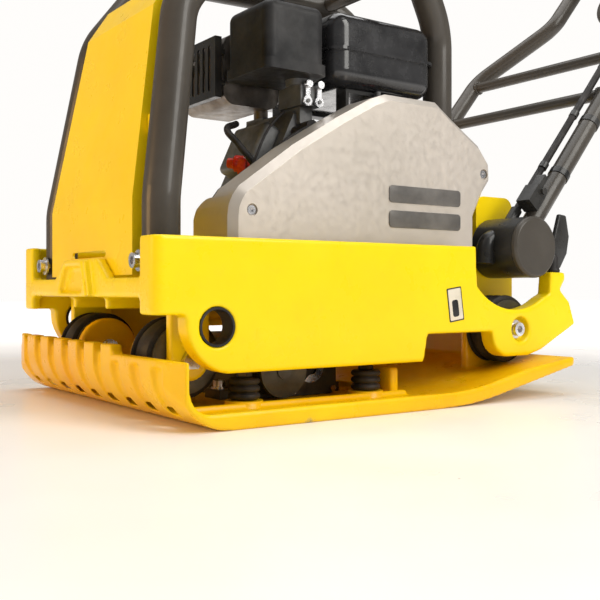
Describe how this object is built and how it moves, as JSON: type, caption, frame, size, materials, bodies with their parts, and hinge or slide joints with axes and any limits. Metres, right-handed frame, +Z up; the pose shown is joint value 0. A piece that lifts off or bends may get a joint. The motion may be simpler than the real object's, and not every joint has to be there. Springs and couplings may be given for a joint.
{
  "type": "plate compactor",
  "caption": "Reversible vibratory plate compactor: ribbed cast base plate, rubber-mounted console with engine, belt guard, tube frame and swing-up guide pole.",
  "frame": {"origin": "centre of the base plate's flat sole, on the ground", "axes": "+Z up, -Y towards the ribbed front lip, +X towards the belt guard side"},
  "size_m": [0.604, 1.3721, 1.0427],
  "materials": {
    "yellow_casting": "gloss yellow paint over cast iron",
    "yellow_panel": "gloss yellow powder coat",
    "dark_steel": "satin dark grey powder coat",
    "guard_sheet": "silver metallic paint",
    "black_sheet": "satin black",
    "rubber": "matte black",
    "bush_plastic": "black moulded",
    "zinc_steel": "zinc plated",
    "dark_iron": "oiled dark cast iron",
    "ground_steel": "ground",
    "engine_aluminium": "sand cast, grey",
    "muffler_steel": "heat-dulled sheet",
    "tank_paint": "gloss black",
    "cleaner_base_plastic": "black moulded",
    "red_plastic": "red moulded"
  },
  "bodies": {
    "machine": {"air_cleaner_base": "cleaner_base_plastic", "air_cleaner_cover": "bush_plastic", "base_plate": "yellow_casting", "belt_guard_back": "black_sheet", "belt_guard_cover": "guard_sheet", "blower_housing": "black_sheet", "buffer_bolts": "zinc_steel", "buffer_plates": "zinc_steel", "carburettor": "engine_aluminium", "console": "yellow_casting", "cylinder_head": "engine_aluminium", "engine_block": "engine_aluminium", "engine_cylinder": "engine_aluminium", "exciter_bearings": "zinc_steel", "exciter_bolts": "zinc_steel", "exciter_end_covers": "yellow_panel", "exciter_housing": "dark_iron", "frame_and_guard_bolts": "zinc_steel", "frame_tube_left": "dark_steel", "frame_tube_right": "dark_steel", "front_panel": "yellow_panel", "fuel_cock_body": "engine_aluminium", "fuel_tank": "tank_paint", "lifting_bridge": "dark_steel", "muffler": "muffler_steel", "muffler_guard": "black_sheet", "oil_plugs": "red_plastic", "panel_clips": "yellow_panel", "pole_bracket": "yellow_panel", "recoil_starter": "black_sheet", "reversing_cylinder": "ground_steel", "rubber_buffers": "rubber", "spark_plug_cap": "rubber", "tank_brackets": "black_sheet", "tie_down_bushes": "bush_plastic", "v_belt": "rubber", "valve_cover": "engine_aluminium"},
    "crank": {"crankshaft": "ground_steel", "flywheel": "dark_iron", "clutch_pulley": "dark_iron"},
    "exciter_front": {"exciter_shaft_a": "ground_steel", "exciter_gear_a": "ground_steel", "exciter_pulley": "dark_iron"},
    "exciter_rear": {"exciter_shaft_b": "ground_steel", "exciter_gear_b": "ground_steel"},
    "starter_grip": {"recoil_grip": "bush_plastic"},
    "tank_cap": {"fuel_cap": "tank_paint"},
    "choke": {"choke_lever": "zinc_steel"},
    "throttle": {"throttle_lever": "zinc_steel"},
    "fuel_cock": {"fuel_tap": "red_plastic"},
    "pole": {"pole_legs": "dark_steel", "pole_drums": "black_sheet", "pole_caps": "dark_steel", "pole_shaft": "ground_steel", "control_head": "bush_plastic", "hydraulic_hose": "rubber"},
    "latch": {"pole_latch": "dark_steel"},
    "handle": {"reversing_handle": "black_sheet", "handle_grip": "bush_plastic"},
    "switch": {"stop_switch": "red_plastic"}
  },
  "joints": [
    {"name": "crank_spin", "type": "hinge", "parent": "machine", "child": "crank", "pos_m": [0, 0.235, 0.3], "axis": [1, 0, 0], "continuous": true},
    {"name": "exciter_front_spin", "type": "hinge", "parent": "machine", "child": "exciter_front", "pos_m": [0, -0.015, 0.055], "axis": [1, 0, 0], "continuous": true},
    {"name": "exciter_rear_spin", "type": "hinge", "parent": "machine", "child": "exciter_rear", "pos_m": [0, 0.055, 0.055], "axis": [1, 0, 0], "continuous": true},
    {"name": "starter_pull", "type": "slide", "parent": "machine", "child": "starter_grip", "axis": [-0.5, 0, 0.866], "range_m": [0, 0.6], "stiffness_N_per_m": 8, "springref_m": -0.2},
    {"name": "cap_turn", "type": "hinge", "parent": "machine", "child": "tank_cap", "pos_m": [-0.07, 0.195, 0.62], "axis": [0, 0, 1], "range_deg": [0, 90]},
    {"name": "choke_turn", "type": "hinge", "parent": "machine", "child": "choke", "pos_m": [0.1, 0.077, 0.464], "axis": [1, 0, 0], "range_deg": [0, 40]},
    {"name": "throttle_turn", "type": "hinge", "parent": "machine", "child": "throttle", "pos_m": [0.1, 0.099, 0.464], "axis": [1, 0, 0], "range_deg": [-40, 0]},
    {"name": "fuel_tap_turn", "type": "hinge", "parent": "machine", "child": "fuel_cock", "pos_m": [0.12, 0.21, 0.453], "axis": [1, 0, 0], "range_deg": [0, 90]},
    {"name": "pole_swing", "type": "hinge", "parent": "machine", "child": "pole", "pos_m": [0, 0.435, 0.241], "axis": [1, 0, 0], "range_deg": [-25, 40]},
    {"name": "latch_turn", "type": "hinge", "parent": "pole", "child": "latch", "pos_m": [0.21, 0.4763, 0.33689], "axis": [1, 0, 0], "range_deg": [-20, 0]},
    {"name": "handle_rock", "type": "hinge", "parent": "pole", "child": "handle", "pos_m": [0, 1.01222, 0.92891], "axis": [1, 0, 0], "range_deg": [-20, 20]},
    {"name": "switch_turn", "type": "hinge", "parent": "pole", "child": "switch", "pos_m": [-0.06, 0.94307, 0.92428], "axis": [0, -0.766, 0.6428], "range_deg": [0, 90]}
  ],
  "couplings": [
    {"joint": "exciter_front_spin", "follows": "crank_spin", "ratio": 1.2},
    {"joint": "exciter_rear_spin", "follows": "crank_spin", "ratio": -1.2}
  ]
}
